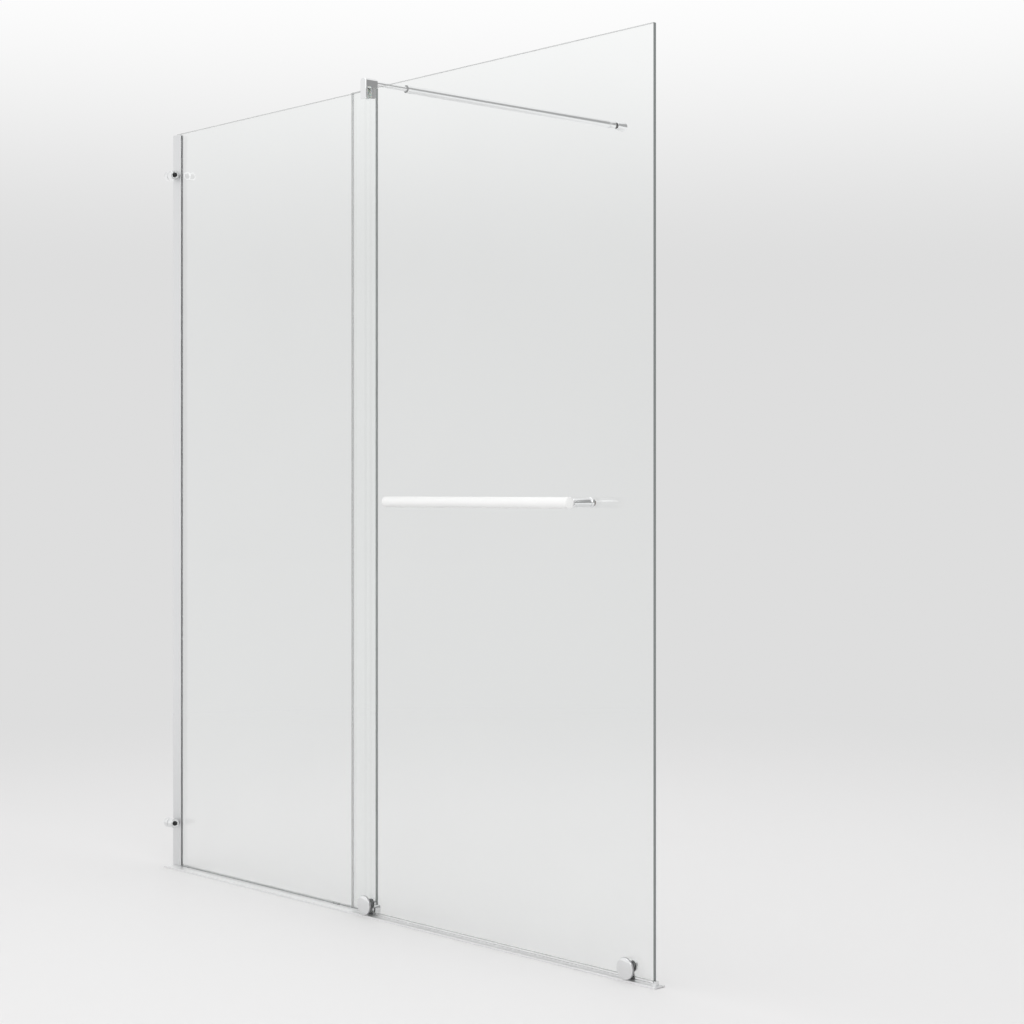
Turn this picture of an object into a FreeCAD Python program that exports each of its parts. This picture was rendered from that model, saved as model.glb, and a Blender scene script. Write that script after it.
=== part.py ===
import FreeCAD, Part
import Sketcher
import os
from types import SimpleNamespace

# Shower enclosure with a sliding door on a floor rail, in millimetres.
# Frame: X along the rail, away from the side wall (X = 0). Y across the rail, from the room (-Y)
# into the shower (+Y), with Y = 0 on the rail's centreline. Z up from the floor (Z = 0).

doc = FreeCAD.newDocument("ShowerEnclosure")
sheet = doc.addObject("Spreadsheet::Sheet", "Sizes")


# ---------------------------------------------------------------- driving dimensions

DIMENSIONS = (
    ("glass_thick", 8, "both panes"),
    ("glass_arris", 0.8, "ground arris on the panes' edges"),
    ("glass_top", 2000, "top of the fixed pane"),
    ("pane_pitch", 24, "door pane's mid-plane to the fixed pane's"),
    ("fixed_start", 14, "fixed pane's hidden edge in the wall channel"),
    ("fixed_end", 880, "fixed pane's free edge"),
    ("fixed_bottom", 5, "fixed pane above the floor"),
    ("door_start", 816, "door pane's wall-side edge, with the door pulled out"),
    ("door_width", 1010, "door pane"),
    ("door_bottom", 11, "door pane above the floor"),
    ("door_top", 1994, "door pane's top edge"),
    ("depth_total", 889.5, "rail centreline to the back wall"),
    ("rail_length", 1841, "floor rail"),
    ("rail_width", 30, "floor rail"),
    ("rail_height", 4, "floor rail"),
    ("slot_place", 6.8, "middle of the guide slot"),
    ("slot_width", 4.4, "guide slot"),
    ("slot_depth", 2, "guide slot"),
    ("tape_width", 22, "bonding tape"),
    ("tape_thick", 0.8, "bonding tape"),
    ("stop_start", 1823.5, "rail end stop"),
    ("stop_end", 1834, "rail end stop"),
    ("stop_ledge", 9, "top of the stop under the door pane"),
    ("stop_top", 13, "top of the stop's lip"),
    ("stop_width", 9, "rail end stop"),
    ("buffer_thick", 1.5, "rubber on the stop's lip"),
    ("channel_width", 15, "wall channel"),
    ("channel_depth", 36.5, "wall channel's room-side flange"),
    ("channel_back_depth", 27, "wall channel's shower-side flange"),
    ("channel_wall", 2, "wall channel"),
    ("channel_height", 1996, "wall channel"),
    ("channel_hook", 1.2, "lip at the channel's mouth"),
    ("channel_hole_low", 150, "lowest wall screw"),
    ("channel_hole_pitch", 850, "wall screws"),
    ("channel_hole_radius", 2.5, "wall screws"),
    ("gasket_thick", 1.5, "channel gaskets"),
    ("gasket_start", 20, "channel gaskets"),
    ("cap_thick", 1.5, "cap on the wall channel"),
    ("clamp_width", 22, "foot clamp and top bracket"),
    ("clamp_depth", 16.4, "foot clamp"),
    ("clamp_height", 26, "foot clamp"),
    ("clamp_end", 884, "foot clamp"),
    ("clamp_round", 10.5, "foot clamp's arched top"),
    ("clamp_slot_floor", 3.8, "bottom of the glass slot"),
    ("clamp_tab", 12, "foot clamp's floor tab"),
    ("clamp_tab_thick", 2, "foot clamp's floor tab"),
    ("pad_thick", 0.8, "pads and washers between metal and glass"),
    ("bracket_middle", 871, "top bracket and support tube"),
    ("bracket_front", -11.5, "top bracket's room side"),
    ("bracket_top", 2022, "top bracket"),
    ("bracket_bottom", 1972, "top bracket"),
    ("bracket_roof", 2001, "underside of the bracket's roof"),
    ("guide_half", 6, "half of the slot the door slides in"),
    ("liner_thick", 1.4, "slot lining"),
    ("bracket_screw_height", 1986, "screw through the fixed pane"),
    ("bracket_screw_place", 868, "screw through the fixed pane"),
    ("tube_height", 2012.5, "support tube"),
    ("tube_thin_radius", 6.25, "support tube"),
    ("tube_thick_radius", 9.5, "support tube"),
    ("tube_wall", 1, "support tube"),
    ("tube_thin_end", 300, "support tube"),
    ("tube_thick_start", 124, "support tube"),
    ("tube_thick_end", 838.8, "support tube"),
    ("collar_radius", 10.2, "support tube's end collar"),
    ("collar_start", 829, "support tube's end collar"),
    ("collar_end", 849, "support tube's end collar"),
    ("socket_radius", 12.2, "wall socket"),
    ("socket_start", 856, "wall socket"),
    ("socket_base_radius", 10, "disc inside the wall socket"),
    ("socket_base_start", 875, "disc inside the wall socket"),
    ("bumper_radius", 13, "wall bumpers"),
    ("bumper_length", 34.5, "wall bumpers without the tip"),
    ("bumper_joint", 14.5, "joint between base and sleeve"),
    ("bumper_tip_radius", 5.5, "rubber tip"),
    ("bumper_tip_out", 4, "rubber tip in front of the sleeve"),
    ("bumper_low", 121, "lower bumper"),
    ("bumper_high", 1885, "upper bumper"),
    ("handle_height", 1000, "handle"),
    ("handle_pitch", 600, "handle posts"),
    ("handle_place", 1043, "handle post nearer the wall"),
    ("handle_reach", 74, "door's mid-plane to the bar's axis"),
    ("handle_length", 616, "handle bar with its end plugs"),
    ("handle_radius", 12.5, "handle bar"),
    ("handle_wall", 1.5, "handle bar"),
    ("handle_plug", 2, "head of the bar's end plugs"),
    ("post_radius", 10, "handle posts"),
    ("rosette_radius", 12, "rosettes"),
    ("rosette_front", 10, "rosette's front to the door's mid-plane"),
    ("roller_left_place", 878, "wheel axis nearer the wall"),
    ("roller_right_place", 1754, "wheel axis at the free end"),
    ("roller_hole_height", 30, "roller's hole in the door pane"),
    ("roller_hole_radius", 8, "roller's hole in the door pane"),
    ("eccentricity", 2.5, "wheel axis below the hole"),
    ("wheel_radius", 23.5, "wheel's running surface"),
    ("wheel_inner", 11.5, "wheel's pane side to the door's mid-plane"),
    ("wheel_outer", 15.2, "wheel's room side to the door's mid-plane"),
    ("hub_radius", 18.5, "wheel hub"),
    ("hub_inner", 10.2, "hub's pane side to the door's mid-plane"),
    ("bearing_outer_radius", 7.5, "ball bearing"),
    ("journal_radius", 3, "ball bearing's bore"),
    ("disc_radius", 23, "chrome disc on the wheel"),
    ("disc_outer", 16.8, "disc's face to the door's mid-plane"),
    ("knob_radius", 12.5, "inner knob"),
    ("knob_start", 7.8, "inner knob"),
    ("knob_end", 14.5, "inner knob"),
    ("shank_radius", 4, "roller axle through the pane"),
    ("shoe_foot", 17, "guide shoe's foot along the rail"),
    ("bolt_radius", 2.5, "handle bolts"),
    ("grub_radius", 1.95, "grub screws"),
)

for row, (alias, millimetres, meaning) in enumerate(DIMENSIONS, start=1):
    sheet.set(f"A{row}", meaning)
    sheet.set(f"B{row}", str(millimetres))
    sheet.setAlias(f"B{row}", alias)
doc.recompute()


class Size:
    """A length together with the spreadsheet formula that gives it."""

    def __init__(self, value, formula):
        self.value = value
        self.formula = formula

    def __add__(self, other):
        other = as_size(other)
        return Size(self.value + other.value, f"({self.formula} + {other.formula})")

    def __sub__(self, other):
        other = as_size(other)
        return Size(self.value - other.value, f"({self.formula} - {other.formula})")

    def __mul__(self, factor):
        return Size(self.value * factor, f"({self.formula} * ({factor}))")

    def __neg__(self):
        return self * -1

    def __radd__(self, other):
        return as_size(other) + self

    def __rsub__(self, other):
        return as_size(other) - self


def as_size(number):
    return number if isinstance(number, Size) else Size(float(number), f"({number})")


S = SimpleNamespace(**{alias: Size(float(mm), f"Sizes.{alias}") for alias, mm, _ in DIMENSIONS})

# Sizes that follow from the driving ones
half_glass = S.glass_thick * 0.5
half_rail = S.rail_width * 0.5
door_end = S.door_start + S.door_width
washer_face = half_glass + S.pad_thick
fixed_room_face = S.pane_pitch - half_glass
fixed_shower_face = S.pane_pitch + half_glass
wheel_axis_height = S.roller_hole_height - S.eccentricity
handle_places = (S.handle_place, S.handle_place + S.handle_pitch)
roller_places = (("left", S.roller_left_place), ("right", S.roller_right_place))


# ---------------------------------------------------------------- how pieces are drawn

subparts = []


def bind(thing, prop, size):
    thing.setExpression(prop, as_size(size).formula)


def new_body(label, x=0, y=0, z=0, kept=True):
    """An empty body, placed at a point that is bound to the sheet."""
    body = doc.addObject("PartDesign::Body", label)
    body.Label = label
    for axis, size in zip("xyz", (x, y, z)):
        if isinstance(size, Size):
            bind(body, f"Placement.Base.{axis}", size)
    if kept:
        subparts.append(body)
    return body


def sketch_on(body, plane, x=0, y=0, lift=0):
    """A sketch on one of the body's own planes, moved in that plane by x, y and off it by lift."""
    sketch = body.newObject("Sketcher::SketchObject", "Sketch")
    support = [item for item in body.Origin.OriginFeatures if item.Role == plane][0]
    sketch.AttachmentSupport = [(support, "")]
    sketch.MapMode = "FlatFace"
    for axis, size in zip("xyz", (x, y, lift)):
        if isinstance(size, Size) or size:
            bind(sketch, f"AttachmentOffset.Base.{axis}", size)
    return sketch


def hold(sketch, kind, *where, size):
    """One sketch constraint whose value comes from the sheet."""
    size = as_size(size)
    index = sketch.addConstraint(Sketcher.Constraint(kind, *where, size.value))
    sketch.setExpression(f"Constraints[{index}]", size.formula)


def draw_outline(sketch, points):
    """A closed outline of straight lines, each corner held from the sketch's origin."""
    corners = [(as_size(u), as_size(v)) for u, v in points]
    vectors = [FreeCAD.Vector(u.value, v.value, 0) for u, v in corners]
    first = sketch.GeometryCount
    count = len(corners)
    for i in range(count):
        sketch.addGeometry(Part.LineSegment(vectors[i], vectors[(i + 1) % count]), False)
    for i in range(count):
        following = first + (i + 1) % count
        sketch.addConstraint(Sketcher.Constraint("Coincident", first + i, 2, following, 1))
    for i, (u, v) in enumerate(corners):
        hold(sketch, "DistanceX", -1, 1, first + i, 1, size=u)
        hold(sketch, "DistanceY", -1, 1, first + i, 1, size=v)


def draw_box(sketch, left, right, low, high):
    draw_outline(sketch, ((left, low), (right, low), (right, high), (left, high)))


def draw_circle(sketch, u, v, radius):
    u, v, radius = as_size(u), as_size(v), as_size(radius)
    circle = Part.Circle(FreeCAD.Vector(u.value, v.value, 0), FreeCAD.Vector(0, 0, 1), radius.value)
    index = sketch.addGeometry(circle, False)
    hold(sketch, "DistanceX", -1, 1, index, 3, size=u)
    hold(sketch, "DistanceY", -1, 1, index, 3, size=v)
    hold(sketch, "Radius", index, size=radius)


def pad(body, sketch, length, symmetric=False, against_normal=False):
    feature = body.newObject("PartDesign::Pad", "Pad")
    feature.Profile = sketch
    feature.SideType = "Symmetric" if symmetric else "One side"
    bind(feature, "Length", length)
    feature.Reversed = against_normal
    return feature


def pocket(body, sketch, depth=None, symmetric=False, towards_normal=False):
    """A cut, right through when it has no depth. It goes against the sketch's normal."""
    feature = body.newObject("PartDesign::Pocket", "Pocket")
    feature.Profile = sketch
    if depth is None:
        feature.Type = "ThroughAll"
        feature.SideType = "Symmetric"
    else:
        feature.SideType = "Symmetric" if symmetric else "One side"
        bind(feature, "Length", depth)
    feature.Reversed = towards_normal
    return feature


def turn(body, sketch, axis, cut=False):
    """A revolution, or a groove, round the sketch's own H_Axis or V_Axis."""
    feature = body.newObject("PartDesign::Groove" if cut else "PartDesign::Revolution", "Turned")
    feature.Profile = sketch
    feature.ReferenceAxis = (sketch, [axis])
    feature.Angle = 360
    return feature


def dress(body, kind, size, chosen):
    """A Fillet or Chamfer on the edges of the body's last feature that the test chooses."""
    doc.recompute()
    base = body.Tip
    names = [f"Edge{i}" for i, edge in enumerate(base.Shape.Edges, start=1) if chosen(edge)]
    if not names:
        raise RuntimeError(f"{body.Label}: no edge to {kind.lower()}")
    feature = body.newObject(f"PartDesign::{kind}", kind)
    feature.Base = (base, names)
    bind(feature, "Radius" if kind == "Fillet" else "Size", size)
    return feature


def along(edge, axis):
    """True for a straight edge that runs along the axis."""
    if edge.Degenerated or edge.Curve.TypeId != "Part::GeomLine":
        return False
    return abs(abs(getattr(edge.Curve.Direction, axis)) - 1) < 1e-6


def edge_at(edge, **place):
    """True where the edge's middle has the given coordinates."""
    middle = edge.CenterOfMass
    return all(abs(getattr(middle, axis) - as_size(at).value) < 0.01 for axis, at in place.items())


def turned_y(label, points, x, z, y=0, kept=True):
    """A turned piece on an axis along Y. Points are (radius, place along Y)."""
    body = new_body(label, x, y, z, kept)
    sketch = sketch_on(body, "XY_Plane")
    draw_outline(sketch, points)
    turn(body, sketch, "V_Axis")
    return body


def turned_x(label, points, x=0, y=0, z=0, kept=True):
    """A turned piece on an axis along X. Points are (place along X, radius)."""
    body = new_body(label, x, y, z, kept)
    sketch = sketch_on(body, "XY_Plane")
    draw_outline(sketch, points)
    turn(body, sketch, "H_Axis")
    return body


def ring(inner, outer, start, end):
    """Section of a ring or tube on an axis along Y."""
    return ((inner, start), (outer, start), (outer, end), (inner, end))


def grub_screw(label, y, start, length, driven_from_above=False):
    """A headless screw along Z on the support tube, with a socket in the end it is driven from."""
    body = new_body(label, S.bracket_middle, y, start, kept=False)
    sketch = sketch_on(body, "XY_Plane")
    draw_circle(sketch, 0, 0, S.grub_radius)
    pad(body, sketch, length)
    socket = sketch_on(body, "XY_Plane", lift=length if driven_from_above else 0)
    draw_circle(socket, 0, 0, S.grub_radius * 0.5)
    pocket(body, socket, 1, towards_normal=not driven_from_above)
    return body


def grub_hole(body, y):
    """The hole for such a screw, in the underside of a piece on the support tube's axis."""
    hole = sketch_on(body, "XY_Plane")
    draw_circle(hole, 0, y, S.grub_radius + 0.05)
    pocket(body, hole, S.socket_radius + 2)


def group(label, bodies):
    """Like pieces that share one node, as separate solids."""
    compound = doc.addObject("Part::Compound", label)
    compound.Label = label
    compound.Links = bodies
    subparts.append(compound)
    return compound


# ---------------------------------------------------------------- floor rail

def floor_rail():
    body = new_body("floor_rail")
    slot = (S.slot_place - S.slot_width * 0.5, S.slot_place + S.slot_width * 0.5)
    half_tape = S.tape_width * 0.5
    slot_floor = S.rail_height - S.slot_depth
    section = sketch_on(body, "YZ_Plane")
    draw_outline(section, (
        (-half_rail, 0), (-half_tape, 0), (-half_tape, S.tape_thick),
        (half_tape, S.tape_thick), (half_tape, 0), (half_rail, 0), (half_rail, S.rail_height),
        (slot[1], S.rail_height), (slot[1], slot_floor), (slot[0], slot_floor),
        (slot[0], S.rail_height), (-half_rail, S.rail_height)))
    pad(body, section, S.rail_length)
    dress(body, "Chamfer", 0.6, lambda e: along(e, "x") and (
        edge_at(e, y=half_rail, z=S.rail_height) or edge_at(e, y=-half_rail, z=S.rail_height)))
    screw = sketch_on(body, "XY_Plane")
    draw_circle(screw, stop_screw_place, 0, 1.5)
    pocket(body, screw)


def bonding_tape():
    body = new_body("rail_bonding_tape")
    sketch = sketch_on(body, "XY_Plane")
    draw_box(sketch, 0, S.rail_length, S.tape_width * -0.5, S.tape_width * 0.5)
    pad(body, sketch, S.tape_thick)


lip_start = door_end + 0.3 + S.buffer_thick
stop_screw_place = (lip_start + S.stop_end) * 0.5


def rail_end_stop():
    """A stepped block: the door pane passes over its ledge and meets its lip."""
    body = new_body("rail_end_stop")
    side = sketch_on(body, "XZ_Plane")
    draw_outline(side, (
        (S.stop_start, S.rail_height), (S.stop_end, S.rail_height), (S.stop_end, S.stop_top),
        (lip_start, S.stop_top), (lip_start, S.stop_ledge), (S.stop_start, S.stop_ledge)))
    pad(body, side, S.stop_width, symmetric=True)
    dress(body, "Fillet", 1, lambda e: along(e, "z") and edge_at(e, x=S.stop_end))
    hole = sketch_on(body, "XZ_Plane", x=stop_screw_place)
    draw_outline(hole, ((0, S.rail_height - 1), (1.6, S.rail_height - 1), (1.6, S.stop_top - 1.4),
                        (3, S.stop_top), (3, S.stop_top + 1), (0, S.stop_top + 1)))
    turn(body, hole, "V_Axis", cut=True)


def end_stop_buffer():
    body = new_body("end_stop_buffer")
    side = sketch_on(body, "XZ_Plane")
    draw_box(side, lip_start - S.buffer_thick, lip_start, S.stop_ledge, S.stop_top - 0.3)
    pad(body, side, S.stop_width - 1, symmetric=True)


def end_stop_screw():
    body = new_body("end_stop_screw", x=stop_screw_place)
    section = sketch_on(body, "XZ_Plane")
    draw_outline(section, (
        (0, 1.2), (1.45, 1.2), (1.45, S.stop_top - 1.5), (2.9, S.stop_top - 0.05),
        (0.9, S.stop_top - 0.05), (0.9, S.stop_top - 1.2), (0, S.stop_top - 1.2)))
    turn(body, section, "V_Axis")


# ---------------------------------------------------------------- wall channel and fixed pane

def wall_channel():
    body = new_body("wall_channel", y=S.pane_pitch)
    outer = S.channel_width * 0.5
    inner = outer - S.channel_wall
    hook = inner - S.gasket_thick * 0.5
    front_hook = S.channel_depth - S.channel_hook
    back_hook = S.channel_back_depth - S.channel_hook
    section = sketch_on(body, "XY_Plane")
    draw_outline(section, (
        (0, -outer), (S.channel_depth, -outer), (S.channel_depth, -hook), (front_hook, -hook),
        (front_hook, -inner), (S.channel_wall, -inner), (S.channel_wall, inner),
        (back_hook, inner), (back_hook, hook), (S.channel_back_depth, hook),
        (S.channel_back_depth, outer), (0, outer)))
    pad(body, section, S.channel_height)
    dress(body, "Fillet", 0.8, lambda e: along(e, "z") and (
        edge_at(e, x=S.channel_back_depth, y=outer) or edge_at(e, x=S.channel_depth, y=-outer)))
    holes = sketch_on(body, "YZ_Plane")
    for step in range(3):
        height = S.channel_hole_low + S.channel_hole_pitch * step
        draw_circle(holes, 0, height, S.channel_hole_radius)
    pocket(body, holes)


def channel_gaskets():
    strips = []
    for name, side, mouth in (("room", -1, S.channel_depth), ("shower", 1, S.channel_back_depth)):
        body = new_body(f"channel_gasket_{name}", y=S.pane_pitch, kept=False)
        section = sketch_on(body, "XY_Plane")
        near, far = half_glass * side, (half_glass + S.gasket_thick) * side
        draw_box(section, S.gasket_start, mouth - S.channel_hook, near, far)
        pad(body, section, S.channel_height - 4)
        strips.append(body)
    group("wall_channel_gaskets", strips)


def channel_cap():
    body = new_body("wall_channel_cap", y=S.pane_pitch, z=S.channel_height)
    outer = S.channel_width * 0.5
    slot = half_glass + 0.3
    section = sketch_on(body, "XY_Plane")
    draw_outline(section, (
        (0, -outer), (S.channel_depth, -outer), (S.channel_depth, -slot),
        (S.fixed_start - 0.3, -slot), (S.fixed_start - 0.3, slot), (S.channel_back_depth, slot),
        (S.channel_back_depth, outer), (0, outer)))
    pad(body, section, S.cap_thick)
    dress(body, "Fillet", 0.8, lambda e: along(e, "z") and (
        edge_at(e, x=S.channel_back_depth, y=outer) or edge_at(e, x=S.channel_depth, y=-outer)))


def pane(label, y, left, right, low, high):
    """A pane of toughened glass with a ground arris on every edge of its two faces."""
    body = new_body(label, y=y)
    outline = sketch_on(body, "XZ_Plane")
    draw_box(outline, left, right, low, high)
    pad(body, outline, S.glass_thick, symmetric=True)
    dress(body, "Chamfer", S.glass_arris, lambda e: not along(e, "y"))
    return body


def countersunk_hole(body, place, height):
    """A hole through a pane, wider on the shower side for a flush screw and its bush."""
    hole = sketch_on(body, "XY_Plane", x=place, lift=height)
    draw_outline(hole, ((0, half_glass * -1 - 1), (4, half_glass * -1 - 1), (4, 0.9),
                        (7.1, half_glass), (7.1, half_glass + 1), (0, half_glass + 1)))
    turn(body, hole, "V_Axis", cut=True)


def flush_bush():
    """Section of the bush that keeps such a screw off the glass."""
    return ((2.6, half_glass * -1), (3.9, half_glass * -1), (3.9, 0.95), (6.95, half_glass),
            (5.5, half_glass), (2.6, 1.1))


def flush_screw(grip):
    """Section of such a screw, with its hexagon socket drawn round."""
    return ((0, half_glass * -1 - grip), (2.45, half_glass * -1 - grip), (2.45, 1.15),
            (5.3, half_glass), (1.7, half_glass), (1.7, half_glass - 2.2), (0, half_glass - 2.2))


def fixed_glass():
    body = pane("fixed_glass", S.pane_pitch, S.fixed_start, S.fixed_end,
                S.fixed_bottom, S.glass_top)
    countersunk_hole(body, S.bracket_screw_place, S.bracket_screw_height)


def bottom_seal():
    body = new_body("fixed_glass_bottom_seal", y=S.pane_pitch)
    section = sketch_on(body, "YZ_Plane", lift=S.channel_depth + 0.3)
    draw_outline(section, ((-3.5, 0), (3.5, 0), (2.6, S.fixed_bottom), (-2.6, S.fixed_bottom)))
    pad(body, section, S.clamp_end - S.clamp_width - S.channel_depth - 0.8)


# ---------------------------------------------------------------- foot clamp

clamp_start = S.clamp_end - S.clamp_width
clamp_screw_height = 13


def foot_clamp_body():
    """A block slotted over the pane's corner, with an arched top and a tab for the floor screw."""
    body = new_body("foot_clamp_body", y=S.pane_pitch)
    block = sketch_on(body, "XZ_Plane")
    draw_box(block, clamp_start, S.clamp_end, 0, S.clamp_height)
    pad(body, block, S.clamp_depth, symmetric=True)
    dress(body, "Fillet", S.clamp_round, lambda e: along(e, "y") and (
        edge_at(e, x=clamp_start, z=S.clamp_height) or edge_at(e, x=S.clamp_end, z=S.clamp_height)))
    slot = sketch_on(body, "XZ_Plane")
    draw_box(slot, clamp_start - 1, S.fixed_end + 0.6, S.clamp_slot_floor, S.clamp_height + 1)
    pocket(body, slot, washer_face * 2, symmetric=True)
    tab = sketch_on(body, "XY_Plane")
    draw_box(tab, S.clamp_end - 1, S.clamp_end + S.clamp_tab, -6.5, 6.5)
    pad(body, tab, S.clamp_tab_thick)
    dress(body, "Fillet", 5, lambda e: along(e, "z") and edge_at(e, x=S.clamp_end + S.clamp_tab))
    floor_hole = sketch_on(body, "XY_Plane")
    draw_circle(floor_hole, S.clamp_end + S.clamp_tab * 0.5, 0, 2.2)
    pocket(body, floor_hole)
    screw_hole = sketch_on(body, "XZ_Plane")
    draw_circle(screw_hole, (clamp_start + S.clamp_end) * 0.5, clamp_screw_height, 2.5)
    pocket(body, screw_hole, S.clamp_depth)


def foot_clamp_pads():
    """Room-side pad, pressure pad and the block that the pane stands on."""
    pads = []
    for name, side in (("room", -1), ("shower", 1)):
        body = new_body(f"foot_pad_{name}", y=S.pane_pitch, kept=False)
        face = sketch_on(body, "XZ_Plane", lift=(half_glass + S.pad_thick * 0.5) * -side)
        draw_box(face, clamp_start + 0.5, S.fixed_end, S.fixed_bottom, S.clamp_height - 6)
        pad(body, face, S.pad_thick, symmetric=True)
        pads.append(body)
    body = new_body("foot_pad_bottom", y=S.pane_pitch, z=S.clamp_slot_floor, kept=False)
    face = sketch_on(body, "XY_Plane")
    draw_box(face, clamp_start + 0.5, S.fixed_end + 0.4, -3.5, 3.5)
    pad(body, face, S.fixed_bottom - S.clamp_slot_floor)
    pads.append(body)
    group("foot_clamp_pads", pads)


def foot_clamp_grub_screw():
    start = fixed_shower_face + S.pad_thick
    turned_y("foot_clamp_grub_screw", (
        (0, 0), (2.45, 0), (2.45, 3.2), (1.3, 3.2), (1.3, 1.6), (0, 1.6)),
        x=(clamp_start + S.clamp_end) * 0.5, z=as_size(clamp_screw_height), y=start)


# ---------------------------------------------------------------- top bracket

def bracket_body():
    """A block on the fixed pane's top corner, slotted from below for the door pane."""
    body = new_body("bracket_body", x=S.bracket_middle)
    leg_back = fixed_room_face - S.pad_thick
    side = sketch_on(body, "YZ_Plane")
    draw_outline(side, (
        (S.bracket_front, S.bracket_bottom), (-S.guide_half, S.bracket_bottom),
        (-S.guide_half, S.bracket_roof), (S.guide_half, S.bracket_roof),
        (S.guide_half, S.bracket_bottom), (leg_back, S.bracket_bottom),
        (leg_back, S.bracket_roof), (fixed_shower_face, S.bracket_roof),
        (fixed_shower_face, S.bracket_top), (S.bracket_front, S.bracket_top)))
    pad(body, side, S.clamp_width, symmetric=True)
    half_width = S.clamp_width * 0.5
    dress(body, "Fillet", 8, lambda e: along(e, "x") and edge_at(e, y=leg_back, z=S.bracket_bottom))
    dress(body, "Fillet", 8, lambda e: along(e, "y") and (
        edge_at(e, x=half_width, z=S.bracket_top) or edge_at(e, x=-half_width, z=S.bracket_top)))
    dress(body, "Fillet", 2, lambda e: along(e, "x") and (
        edge_at(e, y=S.bracket_front, z=S.bracket_top)
        or edge_at(e, y=S.bracket_front, z=S.bracket_bottom)))
    dress(body, "Fillet", 5, lambda e: along(e, "x") and (
        edge_at(e, y=fixed_shower_face, z=S.bracket_top)))
    tube_bore = sketch_on(body, "XZ_Plane", lift=-fixed_shower_face)
    draw_circle(tube_bore, 0, S.tube_height, S.tube_thin_radius + 0.05)
    pocket(body, tube_bore, 14, towards_normal=True)
    screw_bore = sketch_on(body, "XZ_Plane", lift=-leg_back)
    draw_circle(screw_bore, S.bracket_screw_place - S.bracket_middle, S.bracket_screw_height, 2.5)
    pocket(body, screw_bore, 10, towards_normal=True)
    grub_bore = sketch_on(body, "XY_Plane", lift=S.bracket_top)
    draw_circle(grub_bore, 0, fixed_room_face - 2, S.grub_radius + 0.05)
    pocket(body, grub_bore, S.bracket_top - S.tube_height)


def bracket_guide_liner():
    body = new_body("bracket_guide_liner", x=S.bracket_middle)
    inner = S.guide_half - S.liner_thick
    low = S.bracket_bottom + 1.5
    side = sketch_on(body, "YZ_Plane")
    draw_outline(side, (
        (-S.guide_half, low), (-inner, low), (-inner, S.door_top + 2.5), (inner, S.door_top + 2.5),
        (inner, low), (S.guide_half, low), (S.guide_half, S.bracket_roof),
        (-S.guide_half, S.bracket_roof)))
    pad(body, side, S.clamp_width - 1, symmetric=True)


def bracket_glass_gasket():
    body = new_body("bracket_glass_gasket", x=S.bracket_middle)
    face = sketch_on(body, "XZ_Plane", lift=(fixed_room_face - S.pad_thick * 0.5) * -1)
    draw_box(face, -9, 8.5, S.bracket_bottom + 5, S.glass_top - 1)
    draw_circle(face, S.bracket_screw_place - S.bracket_middle, S.bracket_screw_height, 4)
    pad(body, face, S.pad_thick, symmetric=True)


def bracket_fixing():
    """Countersunk screw through the pane, in a plastic bush that keeps it off the glass."""
    at = {"x": S.bracket_screw_place, "z": S.bracket_screw_height, "y": S.pane_pitch}
    turned_y("bracket_glass_bush", flush_bush(), **at)
    turned_y("bracket_glass_screw", flush_screw(9), **at)


# ---------------------------------------------------------------- support tube

mouth_grub = S.tube_thick_start + 11
socket_grub = S.depth_total - 8


def tube_piece(label, points, kept=True):
    """A turned piece on the support tube's axis."""
    return turned_y(label, points, S.bracket_middle, S.tube_height, kept=kept)


def support_tube():
    thin_bore = S.tube_thin_radius - S.tube_wall
    thick_bore = S.tube_thick_radius - S.tube_wall
    tube_piece("support_tube_thin",
               ring(thin_bore, S.tube_thin_radius, fixed_shower_face - 14, S.tube_thin_end))
    thick = tube_piece("support_tube_thick",
                       ring(thick_bore, S.tube_thick_radius, S.tube_thick_start, S.tube_thick_end))
    grub_hole(thick, mouth_grub)
    mouth = S.tube_thick_start
    mouth_bush = tube_piece("support_mouth_bush", (
        (S.tube_thin_radius + 0.05, mouth - 1.5), (S.tube_thick_radius, mouth - 1.5),
        (S.tube_thick_radius, mouth), (thick_bore, mouth), (thick_bore, mouth + 22),
        (S.tube_thin_radius + 0.05, mouth + 22)), kept=False)
    grub_hole(mouth_bush, mouth_grub)
    end_bush = tube_piece("support_end_bush", ring(
        S.tube_thin_radius, thick_bore - 0.05, S.tube_thin_end - 15, S.tube_thin_end), kept=False)
    group("support_tube_bushes", [mouth_bush, end_bush])
    tube_piece("support_tube_end_collar", (
        (S.tube_thick_radius, S.collar_start), (S.collar_radius, S.collar_start),
        (S.collar_radius, S.collar_end), (4, S.collar_end), (4, S.tube_thick_end + 0.2),
        (S.tube_thick_radius, S.tube_thick_end + 0.2)))
    tube_piece("support_tube_stud",
               ((0, S.collar_start + 2), (4, S.collar_start + 2), (4, S.socket_base_start - 3),
                (0, S.socket_base_start - 3)))
    tube_piece("support_tube_neck_ring", ring(4, 8, S.collar_end, S.socket_start))


def wall_socket():
    front = S.socket_start + 8
    body = tube_piece("wall_socket", (
        (4, S.socket_start), (S.socket_radius, S.socket_start), (S.socket_radius, S.depth_total),
        (S.socket_base_radius, S.depth_total), (S.socket_base_radius, front), (4, front)))
    dress(body, "Fillet", 1, lambda e: edge_at(e, y=S.socket_start)
          and e.Length > S.socket_radius.value * 6)
    grub_hole(body, socket_grub)
    tube_piece("wall_socket_base", (
        (2.3, S.socket_base_start + 3), (4.4, S.socket_base_start),
        (S.socket_base_radius, S.socket_base_start), (S.socket_base_radius, S.depth_total),
        (2.3, S.depth_total)))


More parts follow.
